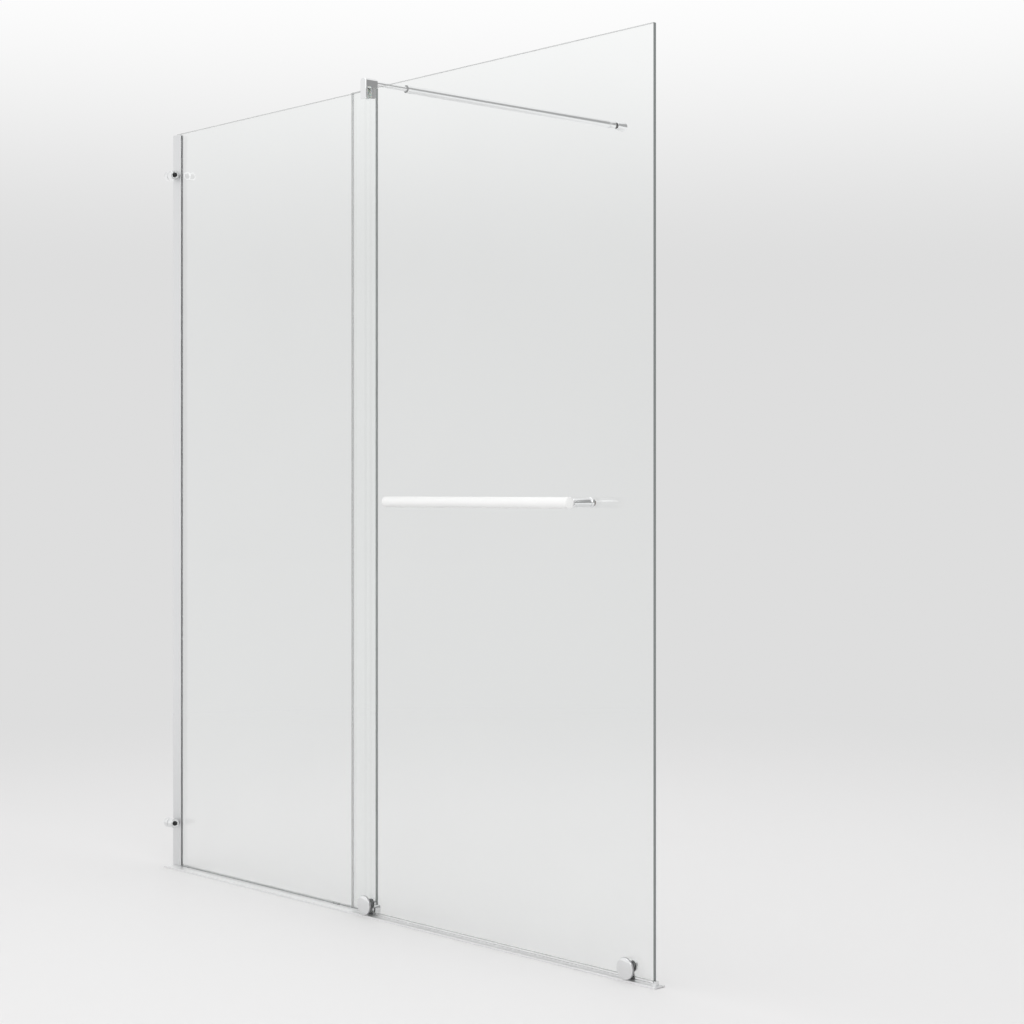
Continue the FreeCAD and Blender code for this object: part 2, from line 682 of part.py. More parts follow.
def support_grub_screws():
    """From below in the tube's mouth and the wall socket, from above in the bracket."""
    tube_bottom = S.tube_height - S.tube_thick_radius
    socket_bottom = S.tube_height - S.socket_radius
    group("support_grub_screws", [
        grub_screw("support_grub_mouth", mouth_grub, tube_bottom - 0.2,
                   S.tube_thick_radius - S.tube_thin_radius + 0.15),
        grub_screw("support_grub_socket", socket_grub, socket_bottom - 0.2,
                   S.socket_radius - S.socket_base_radius + 0.2),
        grub_screw("support_grub_bracket", fixed_room_face - 2,
                   S.tube_height + S.tube_thin_radius + 0.05, 3, driven_from_above=True)])


# ---------------------------------------------------------------- wall bumpers

def bumper(name, height):
    """A stop for the door's edge: base on the wall, sleeve over it, rubber tip in front."""
    neck = S.bumper_radius - 3
    gap_end = S.bumper_joint + 1.2
    turned_x(f"bumper_{name}_base", (
        (0, 2.3), (0, S.bumper_radius), (S.bumper_joint, S.bumper_radius), (S.bumper_joint, neck),
        (28, neck), (28, 4.6), (6, 4.6), (6, 2.3)), z=height)
    body = turned_x(f"bumper_{name}_sleeve", (
        (gap_end, neck), (gap_end, S.bumper_radius), (S.bumper_length, S.bumper_radius),
        (S.bumper_length, S.bumper_tip_radius), (S.bumper_length - 1.5, S.bumper_tip_radius),
        (S.bumper_length - 1.5, 4), (29, 4), (29, neck)), z=height)
    dress(body, "Fillet", 1, lambda e: edge_at(e, x=S.bumper_length)
          and e.Length > S.bumper_radius.value * 6)
    tip = turned_x(f"bumper_{name}_tip", (
        (29, 0), (29, 4), (S.bumper_length - 1.5, 4), (S.bumper_length - 1.5, S.bumper_tip_radius),
        (S.bumper_length + S.bumper_tip_out, S.bumper_tip_radius),
        (S.bumper_length + S.bumper_tip_out, 0)), z=height)
    dress(tip, "Fillet", 1.2, lambda e: edge_at(e, x=S.bumper_length + S.bumper_tip_out)
          and e.Length > 20)


def bumpers():
    for name, height in (("upper", S.bumper_high), ("lower", S.bumper_low)):
        bumper(name, height)


# ---------------------------------------------------------------- door pane

door_bushes = []


def door_glass():
    body = pane("door_glass", 0, S.door_start, door_end, S.door_bottom, S.door_top)
    for place in handle_places:
        countersunk_hole(body, place, S.handle_height)
    holes = sketch_on(body, "XZ_Plane")
    for _, place in roller_places:
        draw_circle(holes, place, S.roller_hole_height, S.roller_hole_radius)
    pocket(body, holes)


# ---------------------------------------------------------------- handle

handle_middle = S.handle_place + S.handle_pitch * 0.5


def handle_bar():
    body = turned_x("handle_bar", (
        (S.handle_length * -0.5 + S.handle_plug, S.handle_radius - S.handle_wall),
        (S.handle_length * -0.5 + S.handle_plug, S.handle_radius),
        (S.handle_length * 0.5 - S.handle_plug, S.handle_radius),
        (S.handle_length * 0.5 - S.handle_plug, S.handle_radius - S.handle_wall)),
        x=handle_middle, y=-S.handle_reach, z=S.handle_height)
    holes = sketch_on(body, "XZ_Plane")
    draw_circle(holes, S.handle_pitch * -0.5, 0, S.bolt_radius + 0.1)
    draw_circle(holes, S.handle_pitch * 0.5, 0, S.bolt_radius + 0.1)
    pocket(body, holes, S.handle_radius + 1)


def handle_end_plugs():
    plugs = []
    bore = S.handle_radius - S.handle_wall
    for name, side in (("left", -1), ("right", 1)):
        end = S.handle_length * 0.5
        plug = turned_x(f"handle_plug_{name}", (
            (end * side, 0), (end * side, S.handle_radius),
            ((end - S.handle_plug) * side, S.handle_radius), ((end - S.handle_plug) * side, bore),
            ((end - 3.6) * side, bore), ((end - 3.6) * side, 0)),
            x=handle_middle, y=-S.handle_reach, z=S.handle_height, kept=False)
        dress(plug, "Fillet", 0.8, lambda e: edge_at(e, x=end * side))
        plugs.append(plug)
    group("handle_end_plugs", plugs)


def handle_post(label, place):
    """A turned post whose end is saddled to the bar."""
    body = turned_y(label, ring(S.bolt_radius + 0.1, S.post_radius,
                                -S.handle_reach + 4, -S.rosette_front), place, S.handle_height)
    saddle = sketch_on(body, "YZ_Plane")
    draw_circle(saddle, -S.handle_reach, 0, S.handle_radius)
    pocket(body, saddle)


def handle_fixings():
    """What fastens each post: a bolt in the bar, a rosette and gasket, and a flush screw."""
    bolt_hole = S.bolt_radius + 0.1
    head = -S.handle_reach + S.handle_radius - S.handle_wall - 1.4
    rosettes, gaskets, screws, bolts = [], [], [], []
    for name, place in zip(("left", "right"), handle_places):
        at = {"x": place, "z": S.handle_height, "kept": False}
        rosette = turned_y(f"rosette_{name}", ring(
            bolt_hole, S.rosette_radius, -S.rosette_front, -washer_face), **at)
        dress(rosette, "Chamfer", 1, lambda e: edge_at(e, y=-S.rosette_front) and e.Length > 50)
        rosettes.append(rosette)
        gaskets.append(turned_y(f"gasket_{name}", ring(
            bolt_hole, S.rosette_radius - 0.5, -washer_face, -half_glass), **at))
        door_bushes.append(turned_y(f"handle_bush_{name}", flush_bush(), **at))
        screws.append(turned_y(f"inner_screw_{name}", flush_screw(24), **at))
        bolts.append(turned_y(f"bolt_{name}", (
            (0, head - 4), (4.25, head - 4), (4.25, head), (S.bolt_radius, head),
            (S.bolt_radius, -32), (0, -32)), **at))
    group("handle_rosettes", rosettes)
    group("handle_gaskets", gaskets)
    group("handle_inner_screws", screws)
    group("handle_bolts", bolts)


# ---------------------------------------------------------------- rollers

journal_start = S.hub_inner - 0.4


def roller_axle(label, place):
    """Flange and shank on the hole's axis, with the wheel's journal offset below them."""
    body = turned_y(label, (
        (0, -journal_start), (12, -journal_start), (12, -washer_face),
        (S.shank_radius, -washer_face), (S.shank_radius, S.knob_end - 2), (0, S.knob_end - 2)),
        place, S.roller_hole_height)
    journal = sketch_on(body, "XZ_Plane", lift=journal_start)
    draw_circle(journal, 0, -S.eccentricity, S.journal_radius)
    pad(body, journal, S.wheel_outer - 0.1 - journal_start)
    thread = sketch_on(body, "XZ_Plane", lift=S.wheel_outer - 0.1)
    draw_circle(thread, 0, -S.eccentricity, 1.3)
    pocket(body, thread, 4)


def roller_knob(label, place):
    """The nut on the shower side, with two pin holes for a key."""
    bevel = 2
    body = turned_y(label, (
        (S.shank_radius, S.knob_start), (S.knob_radius, S.knob_start),
        (S.knob_radius, S.knob_end - bevel), (S.knob_radius - bevel, S.knob_end),
        (0, S.knob_end), (0, S.knob_end - 1.8), (S.shank_radius, S.knob_end - 1.8)),
        place, S.roller_hole_height)
    key = sketch_on(body, "XZ_Plane", lift=-S.knob_end)
    draw_circle(key, -7, 0, 1.2)
    draw_circle(key, 7, 0, 1.2)
    pocket(body, key, 2.5, towards_normal=True)


def guide_shoe(label, place):
    """A plastic wedge clamped under the knob, with a tongue that runs in the rail's slot."""
    body = turned_y(label, ring(S.shank_radius, 6.5, washer_face, S.knob_start),
                    place, S.roller_hole_height)
    foot_bottom = S.rail_height + 3 - S.roller_hole_height
    half_foot = S.shoe_foot * 0.5
    wedge = sketch_on(body, "XZ_Plane", lift=-washer_face)
    draw_outline(wedge, ((-half_foot, foot_bottom), (half_foot, foot_bottom), (4, -4.9), (-4, -4.9)))
    pad(body, wedge, S.knob_start - washer_face, against_normal=True)
    foot = sketch_on(body, "YZ_Plane")
    tongue_low = S.rail_height - S.slot_depth + 0.5 - S.roller_hole_height
    tongue = (S.slot_place - 1.3, S.slot_place + 1.3)
    draw_outline(foot, (
        (washer_face, foot_bottom), (tongue[0], foot_bottom), (tongue[0], tongue_low),
        (tongue[1], tongue_low), (tongue[1], foot_bottom), (S.knob_start + 1, foot_bottom),
        (S.knob_start + 1, foot_bottom + 2), (washer_face, foot_bottom + 2)))
    pad(body, foot, S.shoe_foot, symmetric=True)


def wheel(name, place):
    """Tyre, hub, shielded bearing and chrome disc, which all turn together."""
    height = wheel_axis_height
    shield = S.journal_radius + 1.6
    turned_y(f"roller_{name}_tyre", (
        (S.hub_radius, -S.wheel_outer), (S.wheel_radius - 0.6, -S.wheel_outer),
        (S.wheel_radius, -S.wheel_outer + 0.6), (S.wheel_radius, -S.wheel_inner - 0.6),
        (S.wheel_radius - 0.6, -S.wheel_inner), (S.hub_radius, -S.wheel_inner)), place, height)
    turned_y(f"roller_{name}_hub", ring(
        S.bearing_outer_radius, S.hub_radius, -S.wheel_outer, -S.hub_inner), place, height)
    turned_y(f"roller_{name}_bearing", ring(
        shield, S.bearing_outer_radius, -S.wheel_outer, -S.hub_inner), place, height)
    disc = turned_y(f"roller_{name}_disc", (
        (0, -S.disc_outer), (S.disc_radius, -S.disc_outer), (S.disc_radius, -S.wheel_outer),
        (5, -S.wheel_outer), (5, -S.wheel_outer - 0.95), (0, -S.wheel_outer - 0.95)), place, height)
    dress(disc, "Chamfer", 0.5, lambda e: edge_at(e, y=-S.disc_outer))


def rollers():
    gaskets, races, screws = [], [], []
    for name, place in roller_places:
        roller_axle(f"roller_{name}_axle", place)
        roller_knob(f"roller_{name}_knob", place)
        guide_shoe(f"roller_{name}_guide_shoe", place)
        wheel(name, place)
        hole = {"x": place, "z": S.roller_hole_height, "kept": False}
        axis = {"x": place, "z": wheel_axis_height, "kept": False}
        gaskets.append(turned_y(f"roller_gasket_outer_{name}", ring(
            S.shank_radius, 12, -washer_face, -half_glass), **hole))
        gaskets.append(turned_y(f"roller_gasket_inner_{name}", ring(
            S.shank_radius, 10.5, half_glass, washer_face), **hole))
        door_bushes.append(turned_y(f"roller_bush_{name}", ring(
            S.shank_radius, S.roller_hole_radius - 0.1, -half_glass, half_glass), **hole))
        races.append(turned_y(f"inner_race_{name}", ring(
            S.journal_radius, S.journal_radius + 1.3, -S.wheel_outer + 0.1, -journal_start), **axis))
        head = S.wheel_outer - 0.1
        screws.append(turned_y(f"retaining_screw_{name}", (
            (0, -head + 3.8), (1.25, -head + 3.8), (1.25, -head), (4, -head), (4, -head - 0.7),
            (1, -head - 0.7), (1, -head - 0.2), (0, -head - 0.2)), **axis))
    group("roller_gaskets", gaskets)
    group("roller_bearing_inner_races", races)
    group("roller_retaining_screws", screws)


# ---------------------------------------------------------------- the whole assembly

floor_rail()
bonding_tape()
rail_end_stop()
end_stop_buffer()
end_stop_screw()
wall_channel()
channel_gaskets()
channel_cap()
fixed_glass()
bottom_seal()
foot_clamp_body()
foot_clamp_pads()
foot_clamp_grub_screw()
bracket_body()
bracket_guide_liner()
bracket_glass_gasket()
bracket_fixing()
support_tube()
wall_socket()
support_grub_screws()
bumpers()
door_glass()
handle_bar()
handle_end_plugs()
handle_post("handle_post_left", handle_places[0])
handle_post("handle_post_right", handle_places[1])
handle_fixings()
rollers()
group("door_glass_bushes", door_bushes)
doc.recompute()

failed = [item.Label for item in doc.Objects if {"Invalid", "Error"} & set(item.State)]
if failed:
    raise RuntimeError(f"not computed: {failed}")
for item in subparts:
    if item.Shape.isNull() or not item.Shape.isValid() or not item.Shape.Solids:
        raise RuntimeError(f"no valid solid: {item.Label}")

os.makedirs("parts", exist_ok=True)
for item in subparts:
    item.Shape.exportStep(os.path.join("parts", f"{item.Label}.step"))
print(f"{len(subparts)} sub-parts, {sum(len(item.Shape.Solids) for item in subparts)} solids")
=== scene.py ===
import math

import bpy
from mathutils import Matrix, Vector


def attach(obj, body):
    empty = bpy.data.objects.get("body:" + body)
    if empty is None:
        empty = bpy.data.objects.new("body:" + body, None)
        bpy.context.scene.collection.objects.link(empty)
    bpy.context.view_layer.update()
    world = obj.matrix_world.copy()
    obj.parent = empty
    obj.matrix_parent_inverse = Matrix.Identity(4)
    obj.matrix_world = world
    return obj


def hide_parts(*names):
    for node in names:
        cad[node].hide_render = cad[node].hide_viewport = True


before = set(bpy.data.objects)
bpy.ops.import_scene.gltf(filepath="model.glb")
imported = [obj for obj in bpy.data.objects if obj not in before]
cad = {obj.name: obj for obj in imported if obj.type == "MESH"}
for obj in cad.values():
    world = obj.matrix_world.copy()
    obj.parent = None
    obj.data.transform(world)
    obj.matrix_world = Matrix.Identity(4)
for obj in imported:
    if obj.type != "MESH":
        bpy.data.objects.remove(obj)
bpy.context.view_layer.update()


# ------------------------------------------------------------------ camera
# The photograph's view: level, at the height of the handle, from the open end of the rail on the
# room side. The small shift puts the horizon where the photograph has it.

camera_data = bpy.data.cameras.new("Camera")
camera_data.sensor_width = 36.0
camera_data.lens = 71.0
camera_data.shift_y = -0.0204
camera_data.clip_end = 60.0
camera = bpy.data.objects.new("Camera", camera_data)
camera.location = (4.7010, -3.0406, 1.0249)
camera.rotation_euler = (math.radians(90), 0, math.radians(47.44))
bpy.context.scene.collection.objects.link(camera)
bpy.context.scene.camera = camera
bpy.context.scene.view_settings.view_transform = "Standard"


# ------------------------------------------------------------------ floor rail and its tape
# A flat strip of extruded aluminium, satin anodised. The wheels run on its top, and a narrow slot
# takes the door's guides. Grey foam tape bonds it to the floor.

def node(tree, kind, settings=(), **inputs):
    """One shader node. An input is a plain value or another node's output."""
    made = tree.nodes.new(f"ShaderNode{kind}")
    for key, value in dict(settings).items():
        setattr(made, key, value)
    for key, value in inputs.items():
        names = (key, key.replace("_", " "))
        socket = next(s for s in made.inputs if s.identifier in names or s.name in names)
        if isinstance(value, bpy.types.NodeSocket):
            tree.links.new(value, socket)
        else:
            socket.default_value = value
    return made


def new_effect(name, inputs, output):
    """An empty node group with named inputs and one named output."""
    tree = bpy.data.node_groups.new(name, "ShaderNodeTree")
    for label, kind, value in inputs:
        socket = tree.interface.new_socket(name=label, in_out="INPUT", socket_type=kind)
        socket.default_value = value
    tree.interface.new_socket(name=output, in_out="OUTPUT", socket_type="NodeSocketFloat")
    entry = tree.nodes.new("NodeGroupInput")
    leave = tree.nodes.new("NodeGroupOutput")
    return tree, entry.outputs, leave.inputs[output]


def effect(tree, group, **inputs):
    """Places an effect's group in a material, with that material's own values."""
    placed = tree.nodes.new("ShaderNodeGroup")
    placed.node_tree = group
    for key, value in inputs.items():
        placed.inputs[key.replace("_", " ")].default_value = value
    return placed.outputs[0]


# Worn edges: where the surface turns within the given width, broken up by handling.
worn_edges, entry, leave = new_effect("worn_edges", (
    ("Width", "NodeSocketFloat", 0.0004), ("Break Up", "NodeSocketFloat", 90.0)), "Mask")
place = node(worn_edges, "TexCoord")
eased = node(worn_edges, "Bevel", {"samples": 4}, Radius=entry["Width"])
true_face = node(worn_edges, "NewGeometry")
turn_away = node(worn_edges, "VectorMath", {"operation": "DOT_PRODUCT"},
                 Vector=eased.outputs["Normal"], Vector_001=true_face.outputs["Normal"])
near_edge = node(worn_edges, "MapRange", Value=turn_away.outputs["Value"],
                 From_Min=0.985, From_Max=0.85)
handled = node(worn_edges, "TexNoise", Vector=place.outputs["Object"],
               Scale=entry["Break Up"], Detail=4.0)
rubbed = node(worn_edges, "MapRange", Value=handled.outputs["Fac"], From_Min=0.38, From_Max=0.62)
mask = node(worn_edges, "Math", {"operation": "MULTIPLY"},
            Value=near_edge.outputs["Result"], Value_001=rubbed.outputs["Result"])
worn_edges.links.new(mask.outputs["Value"], leave)

# Uneven polish: soft patches between a low and a high value, for roughness or tone.
uneven_polish, entry, leave = new_effect("uneven_polish", (
    ("Scale", "NodeSocketFloat", 12.0), ("Low", "NodeSocketFloat", 0.3),
    ("High", "NodeSocketFloat", 0.4)), "Value")
place = node(uneven_polish, "TexCoord")
cloud = node(uneven_polish, "TexNoise", Vector=place.outputs["Object"],
             Scale=entry["Scale"], Detail=5.0, Roughness=0.55, Distortion=0.6)
spread = node(uneven_polish, "MapRange", Value=cloud.outputs["Fac"], From_Min=0.3, From_Max=0.7,
              To_Min=entry["Low"], To_Max=entry["High"])
uneven_polish.links.new(spread.outputs["Result"], leave)

# Fine grain: noise that can be drawn out along one direction into extrusion or turning lines.
fine_grain, entry, leave = new_effect("fine_grain", (
    ("Stretch", "NodeSocketVector", (600.0, 600.0, 600.0)),), "Grain")
place = node(fine_grain, "TexCoord")
drawn = node(fine_grain, "Mapping", Vector=place.outputs["Object"], Scale=entry["Stretch"])
grain = node(fine_grain, "TexNoise", Vector=drawn.outputs["Vector"],
             Scale=1.0, Detail=6.0, Roughness=0.65)
fine_grain.links.new(grain.outputs["Fac"], leave)


def make_finish(name, colour, worn, dull, patch=14.0, stretch=(600, 600, 600), depth=0.03,
                tone=0.03, wear=0.0004, **fixed):
    """A finish with grain, patches of duller polish and edges rubbed to the worn colour.

    dull is the lowest and highest roughness, depth the bump's strength and tone how much the
    grain lightens and darkens the colour. fixed holds what is the same all over the surface."""
    material = bpy.data.materials.new(name)
    material.use_nodes = True
    tree = material.node_tree
    shader = tree.nodes["Principled BSDF"]
    for socket, value in fixed.items():
        shader.inputs[socket.replace("_", " ")].default_value = value
    edges = effect(tree, worn_edges, Width=wear)
    polish = effect(tree, uneven_polish, Scale=patch, Low=dull[0], High=dull[1])
    lines = effect(tree, fine_grain, Stretch=stretch)
    rubbed = node(tree, "Mix", {"data_type": "RGBA"}, Factor_Float=edges,
                  A_Color=(*colour, 1), B_Color=(*worn, 1))
    lightness = node(tree, "MapRange", Value=lines, From_Min=0.3, From_Max=0.7,
                     To_Min=1 - tone, To_Max=1 + tone)
    toned = node(tree, "HueSaturation", Color=rubbed.outputs["Result"],
                 Value=lightness.outputs["Result"])
    tree.links.new(toned.outputs["Color"], shader.inputs["Base Color"])
    rough = node(tree, "Math", {"operation": "MULTIPLY_ADD"}, Value=lines, Value_001=dull[0] * 0.3,
                 Value_002=polish)
    tree.links.new(rough.outputs["Value"], shader.inputs["Roughness"])
    bump = node(tree, "Bump", Strength=depth, Distance=0.0002, Height=lines)
    tree.links.new(bump.outputs["Normal"], shader.inputs["Normal"])
    return material


def dress(piece, *materials):
    piece.data.materials.clear()
    for material in materials:
        piece.data.materials.append(material)


rail_aluminium = make_finish(
    "anodised_aluminium_along_x", (0.88, 0.882, 0.884), (0.92, 0.92, 0.92), (0.34, 0.44),
    patch=5.0, stretch=(2.5, 1400, 1400), depth=0.10, tone=0.035, Metallic=1.0)
foam_tape = make_finish(
    "grey_foam_tape", (0.20, 0.20, 0.21), (0.26, 0.26, 0.27), (0.8, 0.9),
    stretch=(1500, 1500, 1500), depth=0.5, tone=0.10)
dress(cad["floor_rail"], rail_aluminium)
dress(cad["rail_bonding_tape"], foam_tape)


# ------------------------------------------------------------------ rail end stop
# A small stepped block of plated zinc, screwed to the rail's end. A strip of rubber on its lip
# meets the door's edge.

def refined(name, block, rounding):
    """A clean copy of a cast or machined block, with its sharp edges eased by rounding, in mm."""
    bpy.ops.object.select_all(action="DESELECT")
    piece = bpy.data.objects.new(name, cad[block].data.copy())
    bpy.context.scene.collection.objects.link(piece)
    piece.select_set(True)
    bpy.context.view_layer.objects.active = piece
    piece.data.materials.clear()
    bpy.ops.mesh.customdata_custom_splitnormals_clear()
    bpy.ops.object.mode_set(mode="EDIT")
    bpy.ops.mesh.select_all(action="SELECT")
    bpy.ops.mesh.remove_doubles(threshold=1e-6)
    bpy.ops.mesh.dissolve_limited(angle_limit=math.radians(0.5))
    ease_edges(rounding)
    bpy.ops.object.mode_set(mode="OBJECT")
    bpy.ops.object.shade_smooth_by_angle(angle=math.radians(35))
    return piece


def ease_edges(rounding, sharper_than=40):
    """In edit mode, rounds the edges that turn more than the given angle."""
    bpy.ops.mesh.select_mode(type="EDGE")
    bpy.ops.mesh.select_all(action="DESELECT")
    bpy.ops.mesh.edges_select_sharp(sharpness=math.radians(sharper_than))
    bpy.ops.mesh.bevel(offset=rounding / 1000, segments=3, profile=0.5, affect="EDGES",
                       clamp_overlap=True)


def settle(name):
    """Names the piece just made and puts its place into its mesh."""
    piece = bpy.context.object
    piece.name = name
    piece.data.name = name
    bpy.ops.object.transform_apply(location=True, rotation=True, scale=True)
    return piece


def cut(piece, cutter):
    """Takes the cutter's volume out of the piece."""
    bore = piece.modifiers.new("bore", "BOOLEAN")
    bore.operation = "DIFFERENCE"
    bore.solver = "EXACT"
    bore.object = cutter
    bpy.context.view_layer.objects.active = piece
    bpy.ops.object.modifier_apply(modifier=bore.name)
    bpy.data.objects.remove(cutter, do_unlink=True)


# Each axis as a direction, and the turn that lays a new primitive along it.
ALONG = {
    "X": (Vector((1, 0, 0)), (0, math.radians(90), 0)),
    "Y": (Vector((0, 1, 0)), (math.radians(-90), 0, 0)),
    "Z": (Vector((0, 0, 1)), (0, 0, 0)),
}


def drill(axis, at, radius, length, sides=32):
    """A drill of the given length in mm, centred at a point in mm, ready for cut()."""
    bpy.ops.object.select_all(action="DESELECT")
    bpy.ops.mesh.primitive_cylinder_add(
        vertices=sides, radius=radius / 1000, depth=length / 1000,
        location=Vector(at) / 1000, rotation=ALONG[axis][1])
    return settle("drill")


def turned(name, axis, centre, profile, rounding=0.3, capped=False, sides=96):
    """A lathe-turned piece: a ring that is extruded, moved and scaled from point to point.

    profile is (place along the axis, radius) in mm and centre a point on the axis. A capped
    piece is closed at both ends of the profile, and another joins its last point to its first."""
    direction, turn = ALONG[axis]
    middle = Vector(centre) / 1000
    place, radius = profile[0]
    bpy.ops.object.select_all(action="DESELECT")
    bpy.ops.mesh.primitive_circle_add(vertices=sides, radius=radius / 1000, rotation=turn,
                                      location=middle + direction * place / 1000)
    piece = settle(name)
    bpy.ops.object.mode_set(mode="EDIT")
    bpy.ops.mesh.select_mode(type="EDGE")
    bpy.ops.mesh.select_all(action="SELECT")
    if capped:
        bpy.ops.mesh.edge_face_add()
        bpy.ops.mesh.select_all(action="SELECT")
        bpy.ops.mesh.select_mode(type="EDGE")
    for next_place, next_radius in profile[1:] if capped else profile[1:] + profile[:1]:
        bpy.ops.mesh.extrude_edges_move(
            TRANSFORM_OT_translate={"value": direction * (next_place - place) / 1000})
        ratio = next_radius / radius
        bpy.ops.transform.resize(value=(ratio, ratio, ratio),
                                 center_override=middle + direction * next_place / 1000)
        place, radius = next_place, next_radius
    if capped:
        bpy.ops.mesh.edge_face_add()
    bpy.ops.mesh.select_all(action="SELECT")
    bpy.ops.mesh.remove_doubles(threshold=1e-6)
    bpy.ops.mesh.normals_make_consistent(inside=False)
    ease_edges(rounding)
    bpy.ops.object.mode_set(mode="OBJECT")
    bpy.ops.object.shade_smooth_by_angle(angle=math.radians(35))
    return piece


def twin(piece, name, move):
    """A copy with its own mesh, moved by move, in mm."""
    bpy.ops.object.select_all(action="DESELECT")
    piece.select_set(True)
    bpy.context.view_layer.objects.active = piece
    bpy.ops.object.duplicate()
    bpy.ops.transform.translate(value=Vector(move) / 1000)
    return settle(name)


def mounted(piece, body, slot, *stands_for):
    """The piece rides on a body and stands for the CAD nodes named, which it hides; slot is not
    used.
    """
    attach(piece, body)
    if stands_for:
        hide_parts(*stands_for)


chrome = make_finish(
    "bright_chrome", (0.82, 0.825, 0.83), (0.70, 0.71, 0.72), (0.035, 0.085),
    patch=55.0, stretch=(350, 350, 350), depth=0.012, tone=0.015, wear=0.0003, Metallic=1.0)
soft_rubber = make_finish(
    "black_moulded_rubber", (0.018, 0.018, 0.019), (0.05, 0.05, 0.05), (0.62, 0.78),
    patch=120.0, stretch=(2600, 2600, 2600), depth=0.35, tone=0.15)
stainless = make_finish(
    "turned_stainless_steel", (0.68, 0.68, 0.675), (0.78, 0.78, 0.78), (0.20, 0.32),
    patch=160.0, stretch=(900, 5200, 900), depth=0.10, tone=0.05, wear=0.0002, Metallic=1.0)

end_stop = refined("end_stop_block", "rail_end_stop", 0.35)
dress(end_stop, chrome)
mounted(end_stop, "fixed_frame", "polished_chrome", "rail_end_stop")

stop_screw = turned("end_stop_machine_screw", "Z", (1830.9, 0, 0),
                    [(1.2, 1.45), (11.5, 1.45), (12.95, 2.9)], 0.12, capped=True, sides=48)
cut(stop_screw, drill("Z", (1830.9, 0, 12.7), 1.05, 2.4, sides=6))
dress(stop_screw, stainless)
mounted(stop_screw, "fixed_frame", "stainless_steel", "end_stop_screw")
dress(cad["end_stop_buffer"], soft_rubber)


# ------------------------------------------------------------------ wall channel
# A U-shaped aluminium extrusion, satin anodised, screwed to the wall behind the fixed pane.
# Clear gaskets wedge the pane in it, and a slotted cap closes its top.

channel_aluminium = make_finish(
    "anodised_aluminium_along_z", (0.74, 0.745, 0.75), (0.86, 0.86, 0.86), (0.32, 0.42),
    patch=5.0, stretch=(1400, 1400, 2.5), depth=0.10, tone=0.035, Metallic=1.0)
gasket_clear = make_finish(
    "clear_gasket_plastic", (0.88, 0.89, 0.89), (0.93, 0.94, 0.94), (0.30, 0.42),
    stretch=(900, 900, 900), depth=0.10, tone=0.02, Transmission_Weight=0.55, IOR=1.46)
dress(cad["wall_channel"], channel_aluminium)
dress(cad["wall_channel_cap"], channel_aluminium)
dress(cad["wall_channel_gaskets"], gasket_clear)


# ------------------------------------------------------------------ fixed pane
# Clear toughened glass 8 mm thick, with ground edges and blunted arrises. A clear sealing strip
# closes the gap under it.

def make_glass(name, tint):
    """Clear float glass: faint streaks from cleaning and the slight waves of toughening."""
    material = bpy.data.materials.new(name)
    material.use_nodes = True
    tree = material.node_tree
    shader = tree.nodes["Principled BSDF"]
    shader.inputs["Transmission Weight"].default_value = 1.0
    shader.inputs["IOR"].default_value = 1.0
    shader.inputs["Coat Weight"].default_value = 1.0
    shader.inputs["Coat Roughness"].default_value = 0.0
    clean = (*tint, 1)
    film = (tint[0] * 0.985, tint[1] * 0.985, tint[2] * 0.985, 1)
    streaks = effect(tree, uneven_polish, Scale=1.6, Low=0.0, High=1.0)
    shade = node(tree, "Mix", {"data_type": "RGBA"}, Factor_Float=streaks,
                 A_Color=clean, B_Color=film)
    tree.links.new(shade.outputs["Result"], shader.inputs["Base Color"])
    polish = effect(tree, uneven_polish, Scale=2.5, Low=0.0, High=0.004)
    tree.links.new(polish, shader.inputs["Roughness"])
    waves = effect(tree, uneven_polish, Scale=3.0, Low=0.0, High=1.0)
    bump = node(tree, "Bump", Strength=0.05, Distance=0.002, Height=waves)
    tree.links.new(bump.outputs["Normal"], shader.inputs["Normal"])
    return material


def glass_pane(name, low, high, holes):
    """A pane between two corners in mm, ground on all its edges.

    It is drilled at each (x, z, radius, flush), and a flush hole widens towards the shower."""
    low, high = Vector(low), Vector(high)
    middle = (low + high) / 2
    arris, drill_length = 0.7, 20
    sink_depth, sink_radii, sink_offset = 6, (3, 9), 2.9
    bpy.ops.object.select_all(action="DESELECT")
    bpy.ops.mesh.primitive_cube_add(size=1, location=middle / 1000, scale=(high - low) / 1000)
    pane = settle(name)
    for x, z, radius, flush in holes:
        cut(pane, drill("Y", (x, middle.y, z), radius, drill_length, sides=48))
        if flush:
            bpy.ops.object.select_all(action="DESELECT")
            bpy.ops.mesh.primitive_cone_add(
                vertices=48, radius1=sink_radii[0] / 1000, radius2=sink_radii[1] / 1000,
                depth=sink_depth / 1000, rotation=ALONG["Y"][1],
                location=Vector((x, middle.y + sink_offset, z)) / 1000)
            cut(pane, settle("countersink"))
    bpy.ops.object.mode_set(mode="EDIT")
    bpy.ops.mesh.select_mode(type="EDGE")
    bpy.ops.mesh.select_all(action="DESELECT")
    bpy.ops.mesh.edges_select_sharp(sharpness=math.radians(60))
    bpy.ops.mesh.bevel(offset=arris / 1000, segments=2, profile=0.5, affect="EDGES")
    bpy.ops.object.mode_set(mode="OBJECT")
    bpy.ops.object.shade_smooth_by_angle(angle=math.radians(20))
    dress(pane, pane_glass, ground_edge)
    for face in pane.data.polygons:
        face.material_index = 0 if abs(face.normal.y) > 0.9 else 1
    return pane


pane_glass = make_glass("toughened_glass", (0.970, 0.980, 0.976))
ground_edge = make_finish(
    "ground_glass_edge", (0.20, 0.215, 0.212), (0.42, 0.44, 0.43), (0.26, 0.38),
    patch=30.0, stretch=(700, 700, 700), depth=0.10, tone=0.08, wear=0.0006)
